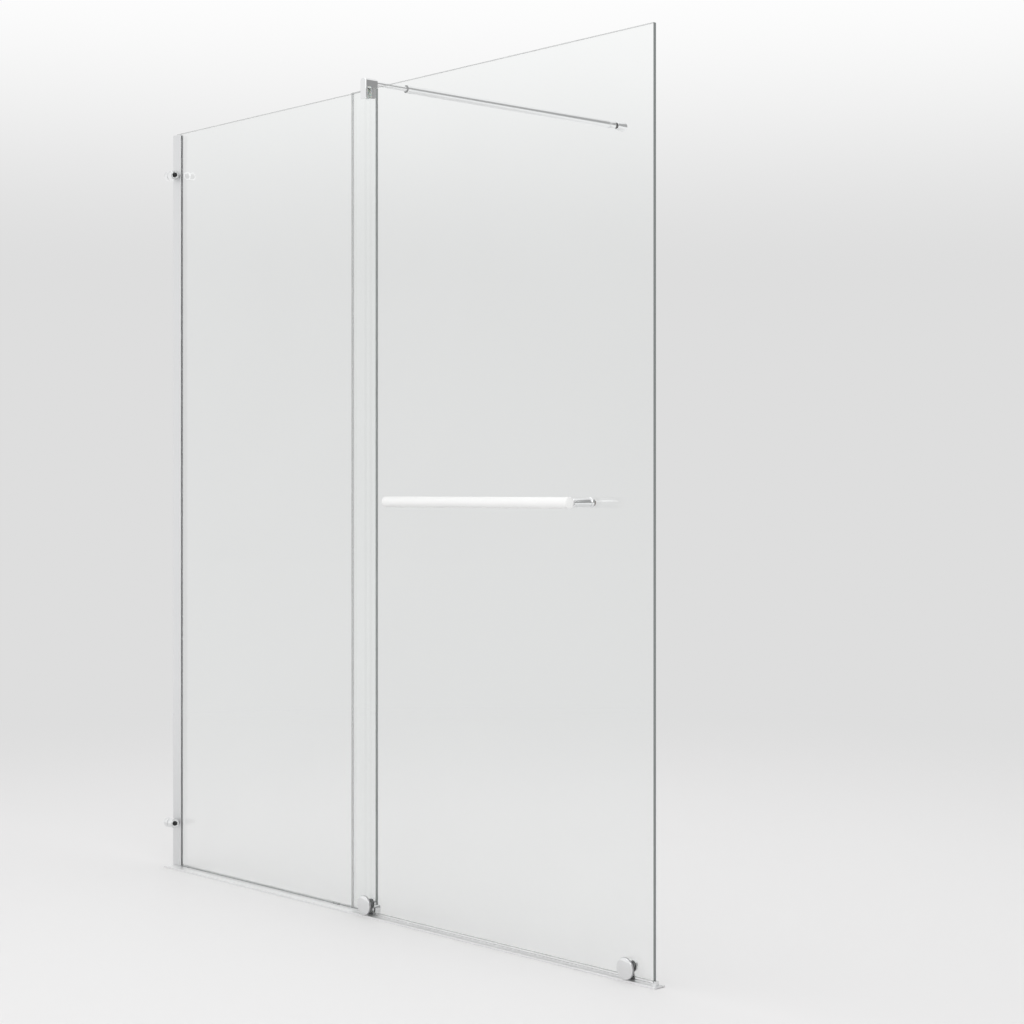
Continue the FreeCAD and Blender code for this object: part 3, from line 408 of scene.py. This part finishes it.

# Seen from inside the glass, an edge lets some light through: it is partly see-through there, and
# painted light makes its colour lighter than outside, for the light that reaches it through the
# pane.
painted_light_inner_colour, inner_cover = (0.27, 0.283, 0.28, 1), 0.55
tree = ground_edge.node_tree
shader = tree.nodes["Principled BSDF"]
outside = shader.inputs["Base Color"].links[0].from_socket
sided = node(tree, "NewGeometry")
# Painted light: the back faces of an edge take the lighter inner colour.
edge_colour_with_painted_light = node(tree, "Mix", {"data_type": "RGBA"}, Factor_Float=sided.outputs["Backfacing"],
                   A_Color=outside, B_Color=painted_light_inner_colour)
tree.links.new(edge_colour_with_painted_light.outputs["Result"], shader.inputs["Base Color"])
cover = node(tree, "MapRange", Value=sided.outputs["Backfacing"], To_Min=1.0,
             To_Max=inner_cover)
tree.links.new(cover.outputs["Result"], shader.inputs["Alpha"])

fixed_pane = glass_pane("fixed_pane", (14, 20, 5), (880, 28, 2000), [(868, 1986, 4.0, True)])
mounted(fixed_pane, "fixed_frame", "clear_glass", "fixed_glass")

seal_vinyl = make_finish(
    "clear_sealing_vinyl", (0.80, 0.82, 0.82), (0.88, 0.90, 0.90), (0.22, 0.32),
    stretch=(3, 900, 900), depth=0.10, tone=0.02, Transmission_Weight=0.7, IOR=1.5)
dress(cad["fixed_glass_bottom_seal"], seal_vinyl)


# ------------------------------------------------------------------ foot clamp
# A chromed brass block with an arched top, slotted over the pane's lower corner and screwed to
# the floor through its tab. Clear pads and a grub screw grip the glass.

foot_clamp = refined("foot_clamp_block", "foot_clamp_body", 0.4)
dress(foot_clamp, chrome)
mounted(foot_clamp, "fixed_frame", "polished_chrome", "foot_clamp_body")

clamp_screw = turned("foot_clamp_set_screw", "Y", (873, 0, 13), [(28.8, 2.45), (32.0, 2.45)],
                     0.2, capped=True, sides=40)
cut(clamp_screw, drill("Y", (873, 32.0, 13), 1.45, 3.2, sides=6))
dress(clamp_screw, stainless)
mounted(clamp_screw, "fixed_frame", "stainless_steel", "foot_clamp_grub_screw")
dress(cad["foot_clamp_pads"], gasket_clear)


# ------------------------------------------------------------------ top bracket
# A chromed brass block on the fixed pane's top corner, held by one countersunk screw through the
# glass. The door's top edge runs in its nylon-lined slot.

bracket = refined("top_bracket_block", "bracket_body", 0.5)
dress(bracket, chrome)
mounted(bracket, "fixed_frame", "polished_chrome", "bracket_body")

nylon = make_finish(
    "natural_nylon", (0.74, 0.73, 0.69), (0.82, 0.81, 0.78), (0.42, 0.55),
    patch=90.0, stretch=(1200, 1200, 1200), depth=0.15, tone=0.03, Subsurface_Weight=0.15)
bracket_screw = turned("bracket_countersunk_screw", "Y", (868, 0, 1986),
                       [(11, 2.45), (25.15, 2.45), (28, 5.3)], 0.2, capped=True, sides=64)
cut(bracket_screw, drill("Y", (868, 28, 1986), 1.85, 4.4, sides=6))
dress(bracket_screw, stainless)
mounted(bracket_screw, "fixed_frame", "stainless_steel", "bracket_glass_screw")
dress(cad["bracket_guide_liner"], nylon)
dress(cad["bracket_glass_bush"], nylon)
dress(cad["bracket_glass_gasket"], gasket_clear)


# ------------------------------------------------------------------ support tube
# A telescopic brace of chromed brass tube from the bracket to the back wall: a thin tube slides
# in a thick one, and the thick one ends in a collar, a rubber neck ring and a wall socket.

brace = (871, 0, 2012.5)
satin_chrome = make_finish(
    "satin_chrome_drawn_along_y", (0.86, 0.865, 0.87), (0.78, 0.79, 0.80), (0.16, 0.23),
    patch=40.0, stretch=(1500, 3, 1500), depth=0.04, tone=0.015, wear=0.0003, Metallic=1.0)
thin_tube = turned("brace_thin_tube", "Y", brace,
                   [(14, 5.25), (14, 6.25), (300, 6.25), (300, 5.25)])
dress(thin_tube, satin_chrome)
mounted(thin_tube, "fixed_frame", "polished_chrome", "support_tube_thin")

thick_tube = turned("brace_thick_tube", "Y", brace,
                    [(124, 8.5), (124, 9.5), (838.8, 9.5), (838.8, 8.5)])
cut(thick_tube, drill("Z", (871, 135, 2003), 2.0, 6))
dress(thick_tube, satin_chrome)
mounted(thick_tube, "fixed_frame", "polished_chrome", "support_tube_thick")

moulded_grey = make_finish(
    "grey_moulded_plastic", (0.24, 0.24, 0.245), (0.32, 0.32, 0.325), (0.34, 0.48),
    patch=120.0, stretch=(1900, 1900, 1900), depth=0.20, tone=0.08)
dress(cad["support_tube_bushes"], moulded_grey)

collar = turned("brace_end_collar", "Y", brace, [
    (829, 9.5), (829, 10.2), (849, 10.2), (849, 4), (839, 4), (839, 9.5)], 0.3)
dress(collar, satin_chrome)
mounted(collar, "fixed_frame", "polished_chrome", "support_tube_end_collar")
dress(cad["support_tube_stud"], stainless)

neck_ring = turned("brace_neck_ring", "Y", brace, [
    (849, 4), (849, 8), (851.4, 8), (852, 7.3), (853, 7.3), (853.6, 8), (856, 8), (856, 4)], 0.25)
dress(neck_ring, soft_rubber)
mounted(neck_ring, "fixed_frame", "black_rubber", "support_tube_neck_ring")

socket = turned("brace_wall_socket", "Y", brace, [
    (856, 4), (856, 12.2), (889.5, 12.2), (889.5, 10), (864, 10), (864, 4)], 0.7)
cut(socket, drill("Z", (871, 881.5, 2001.4), 2.0, 4))
dress(socket, satin_chrome)
mounted(socket, "fixed_frame", "polished_chrome", "wall_socket")
dress(cad["wall_socket_base"], stainless)
dress(cad["support_grub_screws"], stainless)


# ------------------------------------------------------------------ wall bumpers
# Two round stops on the side wall: a chromed base and sleeve, screwed together, with a black
# rubber tip that the door's edge runs against.

to_lower = (0, 0, 121 - 1885)
bumper_axis = (0, 0, 1885)
upper_base = turned("upper_bumper_base", "X", bumper_axis, [
    (0, 2.3), (0, 13), (14.5, 13), (14.5, 10), (28, 10), (28, 4.6), (6, 4.6), (6, 2.3)], 0.45)
dress(upper_base, chrome)
lower_base = twin(upper_base, "lower_bumper_base", to_lower)
mounted(upper_base, "fixed_frame", "polished_chrome", "bumper_upper_base")
mounted(lower_base, "fixed_frame", "polished_chrome", "bumper_lower_base")

upper_sleeve = turned("upper_bumper_sleeve", "X", bumper_axis, [
    (15.7, 10), (15.7, 13), (34.5, 13), (34.5, 5.5), (33, 5.5), (33, 4), (29, 4), (29, 10)], 0.6)
dress(upper_sleeve, chrome)
lower_sleeve = twin(upper_sleeve, "lower_bumper_sleeve", to_lower)
mounted(upper_sleeve, "fixed_frame", "polished_chrome", "bumper_upper_sleeve")
mounted(lower_sleeve, "fixed_frame", "polished_chrome", "bumper_lower_sleeve")

upper_tip = turned("upper_bumper_rubber", "X", bumper_axis, [
    (29, 4), (33, 4), (33, 5.5), (38.5, 5.5)], 0.9, capped=True)
dress(upper_tip, soft_rubber)
lower_tip = twin(upper_tip, "lower_bumper_rubber", to_lower)
mounted(upper_tip, "fixed_frame", "black_rubber", "bumper_upper_tip")
mounted(lower_tip, "fixed_frame", "black_rubber", "bumper_lower_tip")


# ------------------------------------------------------------------ door pane
# The same glass as the fixed pane, drilled for the two handle screws and the two roller axles.
# Nylon bushes keep the metal off the glass.

roller_places = (878, 1754)
handle_places = (1043, 1643)
door_pane = glass_pane(
    "door_pane", (816, -4, 11), (1826, 4, 1994),
    [(x, 1000, 4.0, True) for x in handle_places] + [(x, 30, 8, False) for x in roller_places])
mounted(door_pane, "door", "clear_glass", "door_glass")
dress(cad["door_glass_bushes"], nylon)


# ------------------------------------------------------------------ handle
# A horizontal bar of white powder-coated tube with moulded end plugs, bolted on two chromed posts.
# Each post stands on a rosette and is held by a flush screw through the glass.

white_coat = make_finish(
    "white_powder_coat", (0.87, 0.87, 0.865), (0.90, 0.90, 0.895), (0.30, 0.38),
    patch=25.0, stretch=(420, 420, 420), depth=0.10, tone=0.008)
white_plastic = make_finish(
    "white_moulded_plastic", (0.85, 0.85, 0.845), (0.89, 0.89, 0.885), (0.26, 0.36),
    patch=60.0, stretch=(1300, 1300, 1300), depth=0.08, tone=0.01)

bar_axis = (0, -74, 1000)
bar = turned("handle_round_bar", "X", bar_axis, [
    (1037, 11), (1037, 12.5), (1649, 12.5), (1649, 11)], 0.3)
dress(bar, white_coat)
mounted(bar, "door", "white_coat", "handle_bar")

left_plug = turned("handle_left_plug", "X", bar_axis, [
    (1035, 11.6), (1035.6, 12.5), (1037, 12.5), (1037, 11), (1038.6, 11)], 0.25, capped=True)
dress(left_plug, white_plastic)
mounted(left_plug, "door", "white_plastic", "handle_end_plugs")
right_plug = turned("handle_right_plug", "X", bar_axis, [
    (1651, 11.6), (1650.4, 12.5), (1649, 12.5), (1649, 11), (1647.4, 11)], 0.25, capped=True)
dress(right_plug, white_plastic)
mounted(right_plug, "door", "white_plastic", "handle_end_plugs")

to_right_post = (600, 0, 0)
left_axis = (1043, 0, 1000)
left_post = turned("handle_left_post", "Y", left_axis, [
    (-70, 2.6), (-70, 10), (-61, 10), (-60, 10), (-10, 10), (-10, 2.6)], 0.3)
cut(left_post, drill("X", (1043, -74, 1000), 12.5, 60, sides=128))
dress(left_post, chrome)
right_post = twin(left_post, "handle_right_post", to_right_post)
mounted(left_post, "door", "polished_chrome", "handle_post_left")
mounted(right_post, "door", "polished_chrome", "handle_post_right")

left_rosette = turned("handle_left_rosette", "Y", left_axis, [
    (-10, 2.6), (-10, 11.2), (-9.2, 12), (-4.8, 12), (-4.8, 2.6)], 0.25)
dress(left_rosette, chrome)
right_rosette = twin(left_rosette, "handle_right_rosette", to_right_post)
mounted(left_rosette, "door", "polished_chrome", "handle_rosettes")
mounted(right_rosette, "door", "polished_chrome", "handle_rosettes")

left_screw = turned("handle_left_flush_screw", "Y", left_axis,
                    [(-28, 2.45), (1.15, 2.45), (4, 5.3)], 0.2, capped=True, sides=64)
cut(left_screw, drill("Y", (1043, 4, 1000), 1.85, 4.4, sides=6))
dress(left_screw, stainless)
right_screw = twin(left_screw, "handle_right_flush_screw", to_right_post)
mounted(left_screw, "door", "stainless_steel", "handle_inner_screws")
mounted(right_screw, "door", "stainless_steel", "handle_inner_screws")
dress(cad["handle_gaskets"], gasket_clear)
dress(cad["handle_bolts"], stainless)


# ------------------------------------------------------------------ rollers
# Each roller is a plastic tyre on a turned hub with a shielded ball bearing, behind a flat
# chromed disc. Its eccentric axle goes through the glass to a chromed knob.

to_right_roller = (876, 0, 0)
wheel_axis = (878, 0, 27.5)
hole_axis = (878, 0, 30)
tyre_plastic = make_finish(
    "turned_grey_acetal", (0.34, 0.34, 0.35), (0.42, 0.42, 0.43), (0.32, 0.44),
    patch=140.0, stretch=(700, 4200, 700), depth=0.12, tone=0.05)
bearing_steel = make_finish(
    "ground_bearing_steel", (0.46, 0.47, 0.48), (0.62, 0.62, 0.63), (0.16, 0.26),
    patch=220.0, stretch=(1500, 1500, 1500), depth=0.05, tone=0.04, wear=0.0002, Metallic=1.0)

left_tyre = turned("left_roller_tyre", "Y", wheel_axis, [
    (-15.2, 18.5), (-15.2, 23), (-14.7, 23.5), (-12, 23.5), (-11.5, 23), (-11.5, 18.5)], 0.2)
dress(left_tyre, tyre_plastic)
right_tyre = twin(left_tyre, "right_roller_tyre", to_right_roller)
mounted(left_tyre, "roller_left_wheel", "wheel_plastic", "roller_left_tyre")
mounted(right_tyre, "roller_right_wheel", "wheel_plastic", "roller_right_tyre")

left_hub = turned("left_roller_hub", "Y", wheel_axis, [
    (-15.2, 7.5), (-15.2, 18.5), (-10.2, 18.5), (-10.2, 17), (-11.2, 16.6), (-11.2, 9.4),
    (-10.2, 9), (-10.2, 7.5)], 0.2)
dress(left_hub, stainless)
right_hub = twin(left_hub, "right_roller_hub", to_right_roller)
mounted(left_hub, "roller_left_wheel", "stainless_steel", "roller_left_hub")
mounted(right_hub, "roller_right_wheel", "stainless_steel", "roller_right_hub")

left_bearing = turned("left_roller_bearing", "Y", wheel_axis, [
    (-15.2, 4.6), (-15.2, 7.5), (-10.2, 7.5), (-10.2, 6.7), (-10.5, 6.5), (-10.5, 4.6)], 0.1)
dress(left_bearing, bearing_steel)
right_bearing = twin(left_bearing, "right_roller_bearing", to_right_roller)
mounted(left_bearing, "roller_left_wheel", "bearing_steel", "roller_left_bearing")
mounted(right_bearing, "roller_right_wheel", "bearing_steel", "roller_right_bearing")

left_disc = turned("left_roller_disc", "Y", wheel_axis, [
    (-16.15, 5), (-15.2, 5), (-15.2, 23), (-15.9, 23), (-16.5, 22.6), (-16.8, 21.9)], 0.15,
    capped=True)
dress(left_disc, chrome)
right_disc = twin(left_disc, "right_roller_disc", to_right_roller)
mounted(left_disc, "roller_left_wheel", "polished_chrome", "roller_left_disc")
mounted(right_disc, "roller_right_wheel", "polished_chrome", "roller_right_disc")

left_knob = turned("left_roller_knob", "Y", hole_axis, [
    (12.7, 4), (7.8, 4), (7.8, 12.5), (12.5, 12.5), (14.5, 10.5)], 0.3, capped=True)
for side in (-7, 7):
    cut(left_knob, drill("Y", (878 + side, 14.5, 30), 1.2, 5))
dress(left_knob, chrome)
right_knob = twin(left_knob, "right_roller_knob", to_right_roller)
mounted(left_knob, "door", "polished_chrome", "roller_left_knob")
mounted(right_knob, "door", "polished_chrome", "roller_right_knob")

for side in ("left", "right"):
    shoe = refined(f"{side}_roller_guide", f"roller_{side}_guide_shoe", 0.25)
    dress(shoe, moulded_grey)
    mounted(shoe, "door", "grey_plastic", f"roller_{side}_guide_shoe")
    dress(cad[f"roller_{side}_axle"], stainless)
dress(cad["roller_gaskets"], gasket_clear)
dress(cad["roller_bearing_inner_races"], bearing_steel)
dress(cad["roller_retaining_screws"], stainless)


# ------------------------------------------------------------------ floor and light
# A plain pale floor that fades to the backdrop with distance, one broad soft lamp and a weaker
# one. The room is pale grey low down and white above. Polished metal sees it white, with grey
# panels beside the camera's line, which draw the metal's shape.

backdrop_level = 0.73
soft_light_level = 0.94
mirrored_level = 0.98
floor_middle = (0.9, 0.3, 0.0)
floor_radius = 25
fade_from, fade_to = 1.2, 4.5


def seen_straight(tree, ray):
    """1 for what is seen direct or through glass, and 0 for what is mirrored or lights a piece."""
    seen = node(tree, "Math", {"operation": "MAXIMUM"}, Value=ray.outputs["Is Camera Ray"],
                Value_001=ray.outputs["Is Transmission Ray"])
    unmirrored = node(tree, "Math", {"operation": "SUBTRACT", "use_clamp": True},
                      Value=seen.outputs["Value"], Value_001=ray.outputs["Glossy Depth"])
    return unmirrored.outputs["Value"]


bpy.ops.object.select_all(action="DESELECT")
bpy.ops.mesh.primitive_circle_add(vertices=96, radius=floor_radius, fill_type="NGON",
                                  location=(floor_middle[0], floor_middle[1], -0.0003))
floor = settle("floor")
floor_paint = bpy.data.materials.new("pale_floor")
floor_paint.use_nodes = True
tree = floor_paint.node_tree
paint = tree.nodes["Principled BSDF"]
paint.inputs["Base Color"].default_value = (0.78, 0.775, 0.776, 1)
paint.inputs["Roughness"].default_value = 0.6
place = node(tree, "TexCoord")
from_middle = node(tree, "VectorMath", {"operation": "DISTANCE"},
                   Vector=place.outputs["Object"], Vector_001=floor_middle)
far = node(tree, "MapRange", {"interpolation_type": "SMOOTHSTEP"},
           Value=from_middle.outputs["Value"], From_Min=fade_from, From_Max=fade_to)
ray = node(tree, "LightPath")
glow = node(tree, "MapRange", Value=seen_straight(tree, ray), To_Min=1.0,
            To_Max=backdrop_level)
haze = node(tree, "Emission", Color=(1, 1, 1, 1), Strength=glow.outputs["Result"])
fading = node(tree, "MixShader", Fac=far.outputs["Result"])
tree.links.new(paint.outputs["BSDF"], fading.inputs[1])
tree.links.new(haze.outputs["Emission"], fading.inputs[2])
tree.links.new(fading.outputs["Shader"], tree.nodes["Material Output"].inputs["Surface"])
dress(floor, floor_paint)

lamp_target = Vector((0.9, 0.2, 0.9))
for name, at, size, watts in (
        ("key", (0.4, -1.7, 4.6), 3.0, 22),
        ("fill", (4.4, -2.6, 3.6), 2.2, 34)):
    lamp_data = bpy.data.lights.new(name, "AREA")
    lamp_data.size = size
    lamp_data.energy = watts
    lamp = bpy.data.objects.new(name, lamp_data)
    lamp.location = at
    lamp.rotation_euler = (lamp_target - Vector(at)).to_track_quat("-Z", "Y").to_euler()
    bpy.context.scene.collection.objects.link(lamp)

world = bpy.data.worlds.new("pale_room")
bpy.context.scene.world = world
world.use_nodes = True
tree = world.node_tree
backdrop = tree.nodes["Background"]
place = node(tree, "TexCoord")
direction = node(tree, "VectorMath", {"operation": "NORMALIZE"}, Vector=place.outputs["Generated"])
heights = node(tree, "SeparateXYZ", Vector=direction.outputs["Vector"])
steepness = node(tree, "Math", {"operation": "ABSOLUTE"}, Value=heights.outputs["Z"])
level = node(tree, "MapRange", {"interpolation_type": "SMOOTHSTEP"},
             Value=steepness.outputs["Value"], From_Min=0.68, From_Max=0.56)


def grey_panel(towards, depth):
    """How much a panel in the given direction darkens the room."""
    facing = node(tree, "VectorMath", {"operation": "DOT_PRODUCT"},
                  Vector=direction.outputs["Vector"], Vector_001=towards)
    panel = node(tree, "MapRange", {"interpolation_type": "SMOOTHSTEP"},
                 Value=facing.outputs["Value"], From_Min=0.35, From_Max=0.60, To_Max=depth)
    return node(tree, "Math", {"operation": "MULTIPLY"}, Value=panel.outputs["Result"],
                Value_001=level.outputs["Result"]).outputs["Value"]


beside = grey_panel((0.74, 0.67, 0), 0.62)
opposite = grey_panel((-0.80, 0.60, 0), 0.10)
both = node(tree, "Math", {"operation": "MAXIMUM"}, Value=beside, Value_001=opposite)
mirrored = node(tree, "Math", {"operation": "SUBTRACT"}, Value=mirrored_level,
                Value_001=both.outputs["Value"])
ray = node(tree, "LightPath")
wall = node(tree, "MapRange", {"interpolation_type": "SMOOTHSTEP"}, Value=heights.outputs["Z"],
            From_Min=0.10, From_Max=0.26, To_Min=backdrop_level, To_Max=1.0)
soft = node(tree, "Mix", Factor_Float=ray.outputs["Glossy Depth"], A_Float=soft_light_level,
            B_Float=mirrored.outputs["Value"])
strength = node(tree, "Mix", Factor_Float=seen_straight(tree, ray),
                A_Float=soft.outputs["Result"], B_Float=wall.outputs["Result"])
tree.links.new(strength.outputs["Result"], backdrop.inputs["Strength"])
backdrop.inputs["Color"].default_value = (1, 1, 1, 1)
